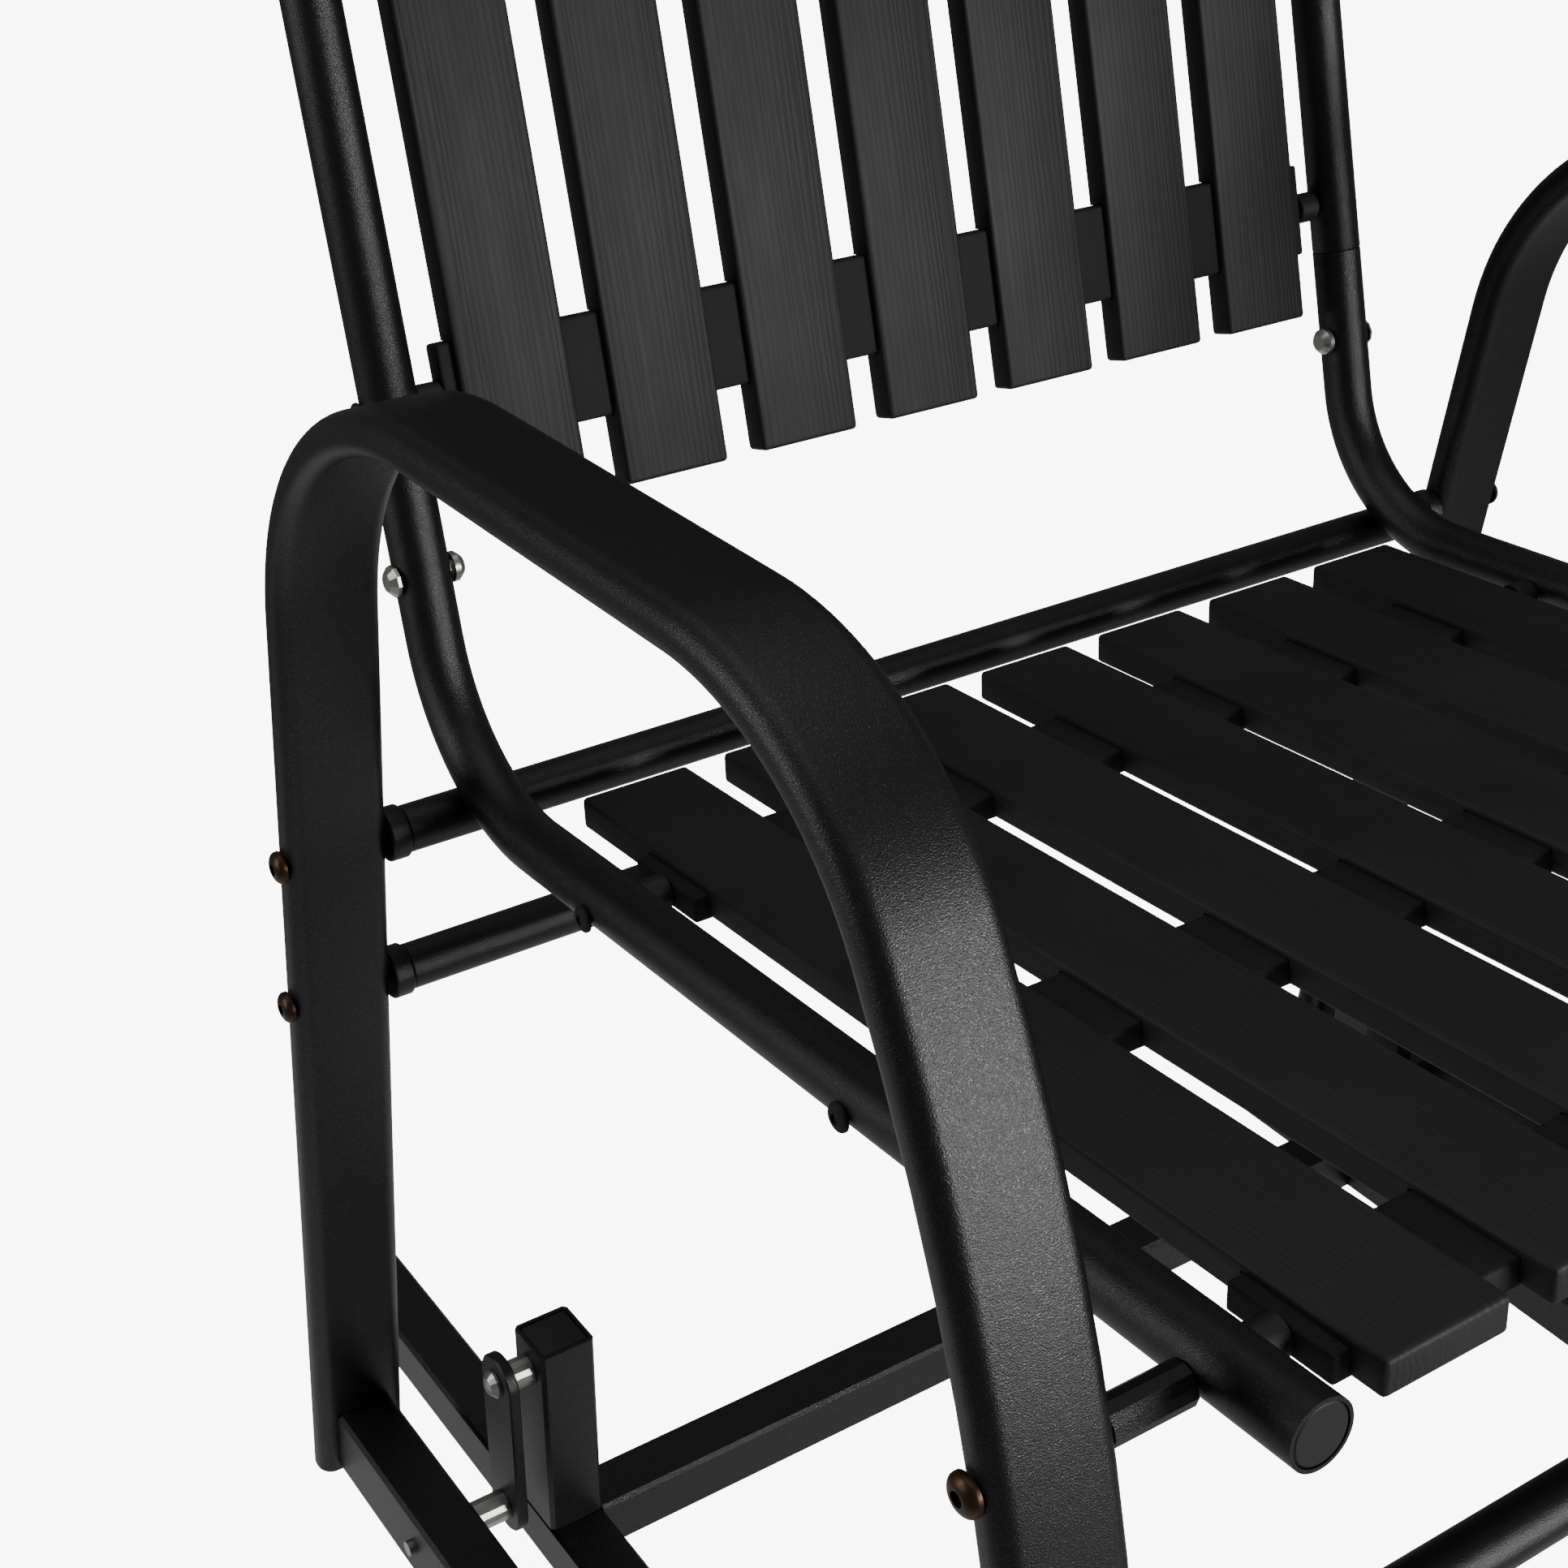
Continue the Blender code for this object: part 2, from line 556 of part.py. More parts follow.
def build_links(base, seat):
    """Flat links, each with its origin on its upper pivot, and the shouldered bolts they turn on."""
    half = LINK_WIDTH / 2
    outline = []
    for centre, first in ((0.0, 0.0), (-LINK_LENGTH, 180.0)):
        for step in range(LINK_END_STEPS + 1):
            point = polar(first + 180.0 * step / LINK_END_STEPS) * half
            outline.append((point[0], centre + point[1]))
    rings = [[Vector((x, a, b)) for a, b in outline] for x in (-LINK_THICK / 2, LINK_THICK / 2)]
    link = loft("link", rings, hollow=False, smooth=False)
    across = LINK_THICK + 2 * RUN_OUT
    link = cut(link, [drill(M8 + RUNNING_GAP, across, (0, 0, z), (1, 0, 0), PIVOT_SIDES)
                      for z in (0.0, -LINK_LENGTH)], False)
    link_in, link_out = LINK_X - LINK_THICK / 2, LINK_X + LINK_THICK / 2
    upper = pivot_bolt("upper_pivot_bolt", link_in - POST_OUTER, BASE_SECTION)
    lower = pivot_bolt("lower_pivot_bolt", HANGER_INNER - link_out, HANGER_SECTION[0])
    for end, y in PIVOTS:
        top = (y, UPPER_PIVOT_HEIGHT - CORNER_HEIGHT)
        bottom = (y, HANGER_HEIGHT - CORNER_HEIGHT)
        for name, side in SIDES:
            place = Matrix.Translation(world(side * LINK_X, top))
            make(f"link_{end}_{name}", link, "powder", place, base)
        aim_pair(f"upper_pivot_bolt_{end}", upper, "zinc", link_out + GAP, top, base)
        aim_pair(f"lower_pivot_bolt_{end}", lower, "zinc", link_in - GAP, bottom, seat, inward=False)


def pivot_bolt(name, space, wall):
    """Bolt through a link, with a shoulder that fills the space to the wall it is fixed in."""
    link = LINK_THICK + 2 * GAP
    shoulder = link + space - 2 * GAP
    end = link + space + wall + THREAD_SHOWN
    profile = [(0, -HEAD_HEIGHT), (HEAD_RADIUS * 0.6, -HEAD_HEIGHT * 0.86),
               (HEAD_RADIUS, -HEAD_HEIGHT * 0.3), (HEAD_RADIUS, 0), (M8, 0), (M8, link),
               (SPACER_RADIUS, link), (SPACER_RADIUS, shoulder), (M8, shoulder), (M8, end), (0, end)]
    return turned(name, profile, PIVOT_SIDES)


def build_base(base):
    """Two floor rails, a cross tube at each pair of posts and the posts, all square tube."""
    section = (BASE_SECTION, BASE_SECTION, BASE_WALL)
    rail = box_tube("floor_rail", BASE_LENGTH, *section)
    turn = Matrix.Rotation(math.radians(90), 4, 'Z')
    for name, side in SIDES:
        place = Matrix.Translation((side * TUBE_X, 0, FLOOR_RAIL_LEVEL)) @ turn
        make(f"floor_rail_{name}", rail, "powder", place, base)
    cross = box_tube("base_cross", 2 * (TUBE_X - BASE_SECTION / 2 - GAP), *section)
    for end, y in PIVOTS:
        place = world(0, (y, FLOOR_RAIL_LEVEL - CORNER_HEIGHT))
        make(f"base_cross_{end}", cross, "powder", Matrix.Translation(place), base)
    bottom = BASE_SECTION + GAP
    height = POST_TOP - bottom
    middle = bottom + height / 2
    post = box_tube("post", height, *section)
    post = cut(post, [drill(M8 + HOLE_GAP, BASE_SECTION + 2 * RUN_OUT,
                            (UPPER_PIVOT_HEIGHT - middle, 0, 0), (0, 1, 0), PIVOT_SIDES)])
    upright = Matrix(((0, 1, 0), (0, 0, 1), (1, 0, 0))).to_4x4()
    for end, y in PIVOTS:
        for name, side in SIDES:
            spot = world(side * TUBE_X, (y, middle - CORNER_HEIGHT))
            make(f"post_{end}_{name}", post, "powder", Matrix.Translation(spot) @ upright, base)


def main():
    for thing in list(bpy.data.objects):
        bpy.data.objects.remove(thing, do_unlink=True)
    base = axis_empty("base_frame", (0, 0, 0))
    seat = axis_empty("seat_unit", world(-LINK_X, (REAR_POST, HANGER_HEIGHT - CORNER_HEIGHT)))
    build_side_tubes(seat)
    build_arm_frames(seat)
    build_cross_tubes(seat)
    build_slats(seat)
    build_bars(seat)
    build_hangers(seat)
    build_links(base, seat)
    build_base(base)


main()
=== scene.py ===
"""Slatted gliding porch swing in black powder-coated tube, laid out as an add-on with one operator
for each group of pieces. Lengths are metres, +Z is up and the sitter faces -Y."""
import json
import math

import bmesh
import bpy
from bpy.props import FloatProperty, FloatVectorProperty, IntProperty, PointerProperty
from mathutils import Matrix, Vector


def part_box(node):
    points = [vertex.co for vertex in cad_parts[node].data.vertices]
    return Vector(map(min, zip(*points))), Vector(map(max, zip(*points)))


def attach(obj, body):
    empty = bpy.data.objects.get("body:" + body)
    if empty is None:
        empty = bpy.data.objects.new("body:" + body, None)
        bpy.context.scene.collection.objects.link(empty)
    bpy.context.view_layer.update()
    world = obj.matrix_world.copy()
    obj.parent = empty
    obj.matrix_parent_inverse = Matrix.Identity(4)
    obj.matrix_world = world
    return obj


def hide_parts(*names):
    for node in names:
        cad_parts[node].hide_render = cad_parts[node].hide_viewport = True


bl_info = {
    "name": "Porch swing glider",
    "version": (1, 0, 0),
    "blender": (4, 5, 0),
    "location": "3D View > Sidebar > Porch Swing",
    "description": "Builds a slatted one-seat gliding porch swing and its studio",
    "category": "Add Mesh",
}

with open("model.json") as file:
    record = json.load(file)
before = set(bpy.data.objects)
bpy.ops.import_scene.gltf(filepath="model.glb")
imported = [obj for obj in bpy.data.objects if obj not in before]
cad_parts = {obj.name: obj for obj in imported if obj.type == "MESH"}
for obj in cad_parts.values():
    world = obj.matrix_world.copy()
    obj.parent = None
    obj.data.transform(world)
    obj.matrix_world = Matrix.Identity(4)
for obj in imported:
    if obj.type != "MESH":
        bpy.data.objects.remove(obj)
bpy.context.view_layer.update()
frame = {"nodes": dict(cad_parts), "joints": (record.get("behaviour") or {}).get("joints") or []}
SIDES = (("left", -1), ("right", 1))
ENDS = ("rear", "front")
GAP = 0.0003                 # between pieces that touch
SHARP = math.radians(32)     # edges above this angle stay crisp
ARM_POINT_Y = -0.262         # where the armrest's height is measured, from the corner
FRONT_BEND_START = 0.337     # corner to the start of the front bend, towards the front
SWEEP_HEADING = 240.0        # degrees, where the front bend passes into the long sweep
TUBE_WALL = 0.0015
ARM_WALL = 0.0018
SPIGOT = 0.066               # part of the stile inside the rail tube
PLUG_DEPTH = 0.012           # plugs in tube ends
SLAT_THICK = 0.015
NOTCH_WIDTH = 0.080          # wider than a slat, so that a notch runs right across
BAR_END = 0.007              # bar past the outermost slats
BASE_WALL = 0.0022           # with the cap's clearance
CAP_DEPTH = 0.010
LINK_STEPS = 24              # round ends of the links
SCREW_HEAD = 0.0022          # height of a slat screw's head
CAMERA_PLACE = Vector((-0.7130, -0.9040, 0.5624))   # from the corner of seat and back
CAMERA_PITCH = 29.485        # degrees below level
CAMERA_YAW = 33.758          # degrees off the direction towards +Y, clockwise from above


# ---- Measures read from the frame --------------------------------------------------------------
def middle(node):
    low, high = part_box(node)
    return (low + high) / 2


def extent(node):
    low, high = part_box(node)
    return high - low


def pivot(name):
    return Vector(next(j["pos_m"] for j in frame["joints"] if j["name"] == name))


def polar(heading):
    """Unit vector in the side plane (y, z) for a heading in degrees."""
    return Vector((math.cos(math.radians(heading)), math.sin(math.radians(heading))))


def length_m(name, description, default):
    return FloatProperty(name=name, description=description, default=default, min=0.0, unit='LENGTH',
                         precision=4)


def angle_deg(name, description, default):
    return FloatProperty(name=name, description=description, default=default, precision=2)


def colour(name, description, default):
    return FloatVectorProperty(name=name, description=description, default=default, subtype='COLOR',
                               size=3, min=0.0, max=1.0)


class SwingSizes(bpy.types.PropertyGroup):
    """Sizes of the tubes, slats and bars."""
    tube_radius: length_m("Side tube radius", "Round tube of seat rails and back stiles", 0.013)
    tube_bend: length_m("Side tube bend", "Radius between seat rail and back", 0.087)
    seat_rise: angle_deg("Seat rise", "Degrees that the seat climbs to the front", 4.4)
    back_lean: angle_deg("Back lean", "Degrees that the back leans to the rear", 15.4)
    rail_length: length_m("Seat rail length", "From the corner to the rail's front end", 0.548)
    stile_length: length_m("Stile length", "From the corner to the stile's top", 0.570)
    stile_dome: length_m("Stile dome", "Height of the stile's closed top", 0.0035)
    seam: length_m("Seam", "Joint of rail tube and stile, along the back", 0.150)
    cross_radius: length_m("Cross tube radius", "Tubes between the legs", 0.011)
    collar_radius: length_m("Collar radius", "Collars at the cross tubes' ends", 0.0125)
    collar_length: length_m("Collar length", "Collars at the cross tubes' ends", 0.010)
    cross_bearing: angle_deg("Cross tube bearing", "Where it lies on the bend's outside", -60.3)
    arm_thick: length_m("Arm thickness", "Thin side of the flat oval tube", 0.018)
    arm_edge: length_m("Arm edge radius", "Rounding of the flat oval tube's edges", 0.0080)
    arm_height: length_m("Armrest height", "Armrest's centre above the corner", 0.241)
    arm_rise: angle_deg("Armrest rise", "Degrees that the armrest climbs to the front", 1.1)
    leg_lean: angle_deg("Leg lean", "Degrees that both legs lean outward", 7.4)
    rear_bend: length_m("Rear arm bend", "Bend radius behind the armrest", 0.137)
    front_bend: length_m("Front arm bend", "Bend radius before the armrest", 0.118)
    front_sweep: length_m("Front leg sweep", "Long curve of the front leg", 0.681)
    slat_proud: length_m("Slat face", "Slat face in front of the tube's centre line", 0.006)
    slat_chamfer: length_m("Slat edge", "Rounding of the slats' edges", 0.0022)
    bar_width: length_m("Bar width", "Flat bars under the slats", 0.048)
    bar_thick: length_m("Bar thickness", "Flat bars under the slats", 0.012)
    bar_drop: length_m("Bar depth", "Slat face to bar face", 0.004)
    spacer_radius: length_m("Spacer radius", "Spacers between bars and side tubes", 0.008)
    bolt_head: length_m("Bolt head radius", "Domed bolt heads", 0.0075)
    bend_steps: IntProperty(name="Bend fineness", description="Degrees for each length of bend",
                            default=3, min=1, max=15)


class SwingFinishes(bpy.types.PropertyGroup):
    """Colours of coat, slats and fittings."""
    coat: colour("Powder coat", "Frame colour", (0.0060, 0.0060, 0.0062))
    fleck: colour("Fleck", "Fine metallic fleck in the coat", (0.105, 0.096, 0.078))
    board: colour("Slat board", "Slat colour", (0.0125, 0.0120, 0.0116))
    board_light: colour("Slat grain", "Lighter streaks of the slats", (0.0340, 0.0315, 0.0290))
    bronze: colour("Bronze", "Bolt heads on the legs", (0.085, 0.050, 0.030))
    zinc: colour("Zinc", "Bright bolts", (0.62, 0.61, 0.58))
    floor: colour("Floor", "Pale studio floor", (0.93, 0.93, 0.93))


def finishes():
    return bpy.context.scene.swing_finishes


# ---- Node maths --------------------------------------------------------------------------------
class Wire:
    """A node socket that takes part in Python expressions."""

    def __init__(self, tree, socket):
        self.tree = tree
        self.socket = socket

    def math(self, operation, *values):
        node = self.tree.nodes.new("ShaderNodeMath")
        node.operation = operation
        for socket, value in zip(node.inputs, values):
            if isinstance(value, Wire):
                self.tree.links.new(value.socket, socket)
            else:
                socket.default_value = value
        return Wire(self.tree, node.outputs[0])

    def __add__(self, other):
        return self.math('ADD', self, other)

    def __radd__(self, other):
        return self.math('ADD', other, self)

    def __sub__(self, other):
        return self.math('SUBTRACT', self, other)

    def __rsub__(self, other):
        return self.math('SUBTRACT', other, self)

    def __mul__(self, other):
        return self.math('MULTIPLY', self, other)

    def __rmul__(self, other):
        return self.math('MULTIPLY', other, self)

    def __gt__(self, other):
        return self.math('GREATER_THAN', self, other)

    def __lt__(self, other):
        return self.math('LESS_THAN', self, other)

    def clamped(self):
        return self.math('MINIMUM', self.math('MAXIMUM', self, 0.0), 1.0)


class Finish:
    """A node material on one Principled shader."""

    def __init__(self, name, **constants):
        self.material = bpy.data.materials.new(name)
        self.material.use_nodes = True
        self.tree = self.material.node_tree
        self.shader = self.tree.nodes["Principled BSDF"]
        for socket, value in constants.items():
            self.shader.inputs[socket.replace("_", " ")].default_value = value

    def node(self, kind, settings=None, out=0, **values):
        """Any node: its settings first, then values or links of its sockets."""
        node = self.tree.nodes.new(kind)
        for key, value in (settings or {}).items():
            setattr(node, key, value)
        for key, value in values.items():
            socket = node.inputs[int(key[1:])] if key[1:].isdigit() else node.inputs[key]
            self.link(value, socket)
        return Wire(self.tree, node.outputs[out])

    def link(self, value, socket):
        if isinstance(value, Wire):
            self.tree.links.new(value.socket, socket)
        else:
            socket.default_value = value

    def feed(self, socket, value):
        self.link(value, self.shader.inputs[socket])

    def place(self, stretch=(1, 1, 1)):
        """Object coordinates, shifted from piece to piece and stretched."""
        spot = self.node("ShaderNodeTexCoord", out=3)
        home = self.node("ShaderNodeObjectInfo", out=0)
        moved = self.node("ShaderNodeVectorMath", {"operation": 'MULTIPLY_ADD'}, _0=home,
                          _1=(7.0, 5.0, 3.0), _2=spot)
        return self.node("ShaderNodeMapping", Vector=moved, Scale=stretch)

    def noise(self, place, scale, detail=3.0, roughness=0.5):
        return self.node("ShaderNodeTexNoise", Vector=place, Scale=scale, Detail=detail,
                         Roughness=roughness)

    def blend(self, amount, first, second):
        return self.node("ShaderNodeMix", {"data_type": 'RGBA'}, out=2, _0=amount,
                         _6=first, _7=second)

    def bump(self, height, distance, strength, under=None):
        values = {"Height": height, "Distance": distance, "Strength": strength}
        if under is not None:
            values["Normal"] = under
        return self.node("ShaderNodeBump", **values)


def rgba(values):
    return (*values, 1.0)


def coat_finish(name, grain, roughness, fleck):
    """Black powder coat: fine orange peel, a sparse metallic fleck and slight change in gloss."""
    look = finishes()
    made = Finish(name, IOR=1.5, Coat_Weight=0.0)
    spot = made.place()
    cloud = made.noise(spot, 9.0, 4.0)
    peel = made.noise(spot, grain, 2.0)
    speck = made.node("ShaderNodeTexVoronoi", Vector=spot, Scale=grain * 0.9)
    lit = made.node("ShaderNodeTexWhiteNoise", Vector=made.node(
        "ShaderNodeTexVoronoi", out=2, Vector=spot, Scale=grain * 0.9))
    mask = (speck < 0.34) * (lit > 1.0 - fleck)
    shade = made.blend(cloud, rgba(look.coat), rgba([c * 1.25 for c in look.coat]))
    made.feed("Base Color", made.blend(mask, shade, rgba(look.fleck)))
    made.feed("Metallic", mask * 0.8)
    made.feed("Roughness", roughness - 0.05 + cloud * 0.10 - mask * 0.08)
    fine = made.bump(peel, 0.0006, 0.35)
    made.feed("Normal", made.bump(cloud, 0.0012, 0.10, fine))
    return made.material


def board_finish(name):
    """Near-black composite board: fine embossed grain along its length, patchy and matte."""
    look = finishes()
    made = Finish(name, IOR=1.46)
    long = made.place((1.0, 0.035, 1.0))
    broad = made.place((1.0, 0.25, 1.0))
    wander = made.noise(broad, 14.0, 3.0)
    fibre = made.noise(long, 620.0, 3.0, 0.6)
    ring = made.node("ShaderNodeTexWave", {"wave_type": 'BANDS', "bands_direction": 'X'},
                     Vector=long, Scale=95.0, Distortion=9.0, Detail=2.0)
    patch = made.noise(made.place(), 11.0, 4.0, 0.6)
    scuff = made.noise(made.place((1.0, 0.3, 1.0)), 60.0, 4.0, 0.7)
    relief = fibre * 0.6 + ring * 0.4
    tone = (patch * 0.9 + wander * 0.4 - 0.40 + (relief - 0.5) * 0.35).clamped()
    made.feed("Base Color", made.blend(tone, rgba(look.board), rgba(look.board_light)))
    made.feed("Roughness", 0.52 + scuff * 0.14 + (relief - 0.5) * 0.10)
    groove = made.bump(relief, 0.0005, 0.42)
    made.feed("Normal", made.bump(patch, 0.002, 0.08, groove))
    return made.material


def metal_finish(name, tint, roughness, metallic):
    """Plated steel: soft mottling, fine scratches and darker spots."""
    made = Finish(name)
    spot = made.place()
    mottle = made.noise(spot, 160.0, 4.0, 0.6)
    scratch = made.noise(made.place((1.0, 9.0, 1.0)), 420.0, 2.0)
    made.feed("Base Color", made.blend(mottle, rgba([c * 0.7 for c in tint]), rgba(tint)))
    made.feed("Metallic", metallic - mottle * 0.1)
    made.feed("Roughness", roughness + (scratch - 0.5) * 0.25)
    made.feed("Normal", made.bump(scratch, 0.0003, 0.12))
    return made.material


def plastic_finish(name, tint, roughness):
    """Moulded plastic with a fine spark-eroded texture."""
    made = Finish(name, IOR=1.49)
    spot = made.place()
    grain = made.noise(spot, 1500.0, 2.0)
    haze = made.noise(spot, 40.0, 3.0)
    made.feed("Base Color", made.blend(haze, rgba([c * 0.8 for c in tint]), rgba(tint)))
    made.feed("Roughness", roughness + (haze - 0.5) * 0.12)
    made.feed("Normal", made.bump(grain, 0.0003, 0.2))
    return made.material


def backdrop_finish(name):
    """Pale paper floor that stays evenly bright."""
    look = finishes()
    made = Finish(name, Roughness=0.9, Emission_Strength=9.0)
    fibre = made.noise(made.place(), 30.0, 3.0)
    pale = rgba(look.floor)
    made.feed("Base Color", made.blend(fibre, pale, rgba([c * 0.985 for c in look.floor])))
    made.feed("Emission Color", made.blend(fibre, pale, rgba([c * 0.99 for c in look.floor])))
    return made.material


FINISH_MAKERS = {
    "arm_coat": lambda name: coat_finish(name, 1900.0, 0.36, 0.30),
    "tube_coat": lambda name: coat_finish(name, 2400.0, 0.33, 0.04),
    "bar_coat": lambda name: coat_finish(name, 2400.0, 0.72, 0.0),
    "board": board_finish,
    "bronze": lambda name: metal_finish(name, finishes().bronze, 0.38, 0.85),
    "zinc": lambda name: metal_finish(name, finishes().zinc, 0.34, 1.0),
    "plug": lambda name: plastic_finish(name, (0.018, 0.018, 0.018), 0.55),
    "backdrop": backdrop_finish,
}


def finish(name):
    return bpy.data.materials.get(name) or FINISH_MAKERS[name](name)


# ---- Mesh work ---------------------------------------------------------------------------------
def to_mesh(bm, name):
    bmesh.ops.recalc_face_normals(bm, faces=bm.faces)
    mesh = bpy.data.meshes.new(name)
    bm.to_mesh(mesh)
    bm.free()
    mesh.shade_smooth()
    mesh.set_sharp_from_angle(angle=SHARP)
    return mesh


def skin(name, rings, closed_ends=True):
    """Skin rings of equal count, with faces over the ends or joined back to the start."""
    bm = bmesh.new()
    made = [[bm.verts.new(point) for point in ring] for ring in rings]
    pairs = list(zip(made, made[1:]))
    if closed_ends:
        bm.faces.new(made[0])
        bm.faces.new(made[-1])
    else:
        pairs.append((made[-1], made[0]))
    for one, two in pairs:
        for i in range(len(one)):
            j = (i + 1) % len(one)
            bm.faces.new((one[i], one[j], two[j], two[i]))
    return to_mesh(bm, name)


def round_outline(radius, sides):
    turn = 2 * math.pi / sides
    return [(radius * math.cos(turn * i), radius * math.sin(turn * i)) for i in range(sides)]


def soft_outline(width, height, corner, steps):
    """Rectangle with rounded corners."""
    points = []
    for sign_x, sign_y, first in ((1, 1, 0), (-1, 1, 90), (-1, -1, 180), (1, -1, 270)):
        for step in range(steps + 1):
            out = polar(first + 90.0 * step / steps) * corner
            points.append((sign_x * (width / 2 - corner) + out[0],
                           sign_y * (height / 2 - corner) + out[1]))
    return points


def trace(start, heading, moves, bend_step):
    """Stations (spot, heading) along straight runs (length, 0) and bends (radius, turn)."""
    spot = Vector(start)
    stations = [(spot.copy(), heading)]
    for size, turn in moves:
        if turn == 0:
            spot = spot + polar(heading) * size
            stations.append((spot.copy(), heading))
            continue
        side = math.copysign(90.0, turn)
        centre = spot + polar(heading + side) * size
        steps = max(2, math.ceil(abs(turn) / bend_step))
        for step in range(1, steps + 1):
            now = heading + turn * step / steps
            spot = centre - polar(now + side) * size
            stations.append((spot.copy(), now))
        heading += turn
    return stations


def station_ring(station, outline):
    spot, heading = station
    side = polar(heading + 90.0)
    return [Vector((a, spot[0] + b * side[0], spot[1] + b * side[1])) for a, b in outline]


def bent_tube(name, stations, outline, wall):
    """Tube along traced stations, open at its ends, from an outline function of the inset."""
    rings = [station_ring(s, outline(0.0)) for s in stations]
    rings += [station_ring(s, outline(wall)) for s in reversed(stations)]
    return skin(name, rings, closed_ends=False)


def turned(name, profile, sides=40):
    """Spin (radius, x) pairs about local x; a profile off the axis makes a ring."""
    bm = bmesh.new()
    verts = [bm.verts.new((x, radius, 0.0)) for radius, x in profile]
    edges = [bm.edges.new(pair) for pair in zip(verts, verts[1:])]
    if profile[0][0] > 0:
        edges.append(bm.edges.new((verts[-1], verts[0])))
    bmesh.ops.spin(bm, geom=verts + edges, cent=(0, 0, 0), axis=(1, 0, 0), angle=2 * math.pi,
                   steps=sides, use_merge=True)
    bmesh.ops.remove_doubles(bm, verts=bm.verts, dist=1e-6)
    return to_mesh(bm, name)


def dome_head(radius, height, shank, length):
    """Button-head bolt along +x, underside of its head at the origin, with a hex socket's dimple."""
    rise = [(radius * math.sin(math.radians(a)), -height * (0.25 + 0.75 * math.cos(math.radians(a))))
            for a in range(30, 91, 10)]
    socket = [(0, -height * 0.55), (radius * 0.34, -height * 0.55), (radius * 0.36, -height * 0.9)]
    return socket + rise + [(radius, 0), (shank, 0), (shank, length), (0, length)]


def aim(point, direction):
    turn = Vector((1, 0, 0)).rotation_difference(Vector(direction)).to_matrix().to_4x4()
    return Matrix.Translation(point) @ turn


def box_mesh(name, size, bevel, segments):
    bm = bmesh.new()
    bmesh.ops.create_cube(bm, size=1.0)
    bmesh.ops.scale(bm, vec=size, verts=bm.verts)
    bmesh.ops.bevel(bm, geom=bm.edges[:], offset=bevel, segments=segments, profile=0.5, affect='EDGES')
    return to_mesh(bm, name)


def add(name, mesh, look, body, placement, replaces=()):
    """Put a piece in the scene, give it its finish and let it move with its body."""
    piece = bpy.data.objects.new(name, mesh)
    bpy.context.scene.collection.objects.link(piece)
    piece.matrix_world = placement
    if not mesh.materials:
        mesh.materials.append(finish(look))
    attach(piece, body)
    if replaces:
        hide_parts(*replaces)


def carry_over(nodes, look):
    """Give CAD nodes their real finish."""
    for name in nodes:
        node = frame["nodes"][name]
        node.data.materials.clear()
        node.data.materials.append(finish(look))


# ---- The side plane ----------------------------------------------------------------------------
class SidePlane:
    """Corner, headings and tube lines in the (y, z) plane, placed by the upper cross tube."""

    def __init__(self, size):
        self.size = size
        self.seat = 180.0 - size.seat_rise
        self.back = 90.0 - size.back_lean
        half = (self.seat - self.back) / 2
        centre = polar(self.back + half) * (size.tube_bend / math.sin(math.radians(half)))
        self.bend_run = size.tube_bend / math.tan(math.radians(half))
        self.bend_turn = 180.0 - 2 * half
        reach = size.tube_bend + size.tube_radius + size.cross_radius + GAP
        self.cross = centre + polar(size.cross_bearing) * reach
        anchor = middle("upper_cross_tube")
        self.corner = Vector((0.0, anchor.y - self.cross[0], anchor.z - self.cross[1]))

    def spot(self, node):
        point = middle(node) - self.corner
        return Vector((point.y, point.z))

    def world(self, x, spot):
        return self.corner + Vector((x, spot[0], spot[1]))

    def surface(self, on_seat, x, along, face):
        """Placement on the seat or back: local y from the corner, local z to the sitter."""
        heading = self.seat if on_seat else self.back
        away = polar(heading)
        out = polar(heading - 90.0 if on_seat else heading + 90.0)
        spot = self.world(x, away * along + out * face)
        axis_x = Vector((0, *away)).cross(Vector((0, *out)))
        turn = Matrix((axis_x, (0, *away), (0, *out))).transposed().to_4x4()
        return Matrix.Translation(spot) @ turn

    def along(self, node, on_seat):
        heading = self.seat if on_seat else self.back
        return self.spot(node).dot(polar(heading))

    def arm_line(self):
        """Arm frame's centre line from the rear foot over the armrest to the front foot."""
        size = self.size
        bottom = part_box("arm_frame_left")[0].z - self.corner.z
        lean = math.radians(size.leg_lean)
        bottom += math.sin(lean) * size.arm_thick / 2
        up = 90.0 + size.leg_lean
        level = 180.0 - size.arm_rise
        foot = self.cross - polar(up) * ((self.cross[1] - bottom) / math.cos(lean))
        arm = Vector((ARM_POINT_Y, size.arm_height))
        a, b = polar(up), polar(level)
        apart = arm - foot
        run = (apart[0] * b[1] - apart[1] * b[0]) / (a[0] * b[1] - a[1] * b[0])
        take = size.rear_bend * math.tan(math.radians((level - up) / 2))
        corner = foot + a * run
        flat = (corner[0] + FRONT_BEND_START) / math.cos(math.radians(size.arm_rise)) - take
        down = 270.0 - size.leg_lean
        moves = [(run - take, 0), (size.rear_bend, level - up), (flat, 0),
                 (size.front_bend, SWEEP_HEADING - level),
                 (size.front_sweep, down - SWEEP_HEADING)]
        end = trace(foot, up, moves, size.bend_steps)[-1][0]
        moves.append(((end[1] - bottom) / math.cos(lean), 0))
        return trace(foot, up, moves, size.bend_steps)


def both_sides(name, mesh, look, x, plane, spot, stands_for=None):
    """Turned piece at a side-plane spot on each side of the seat unit, pointing inward."""
    for side_name, side in SIDES:
        nodes = [f"{stands_for}_{side_name}"] if stands_for else ()
        place = aim(plane.world(side * x, spot), (-side, 0, 0))
        add(f"{name}_{side_name}", mesh, look, "seat_unit", place, nodes)


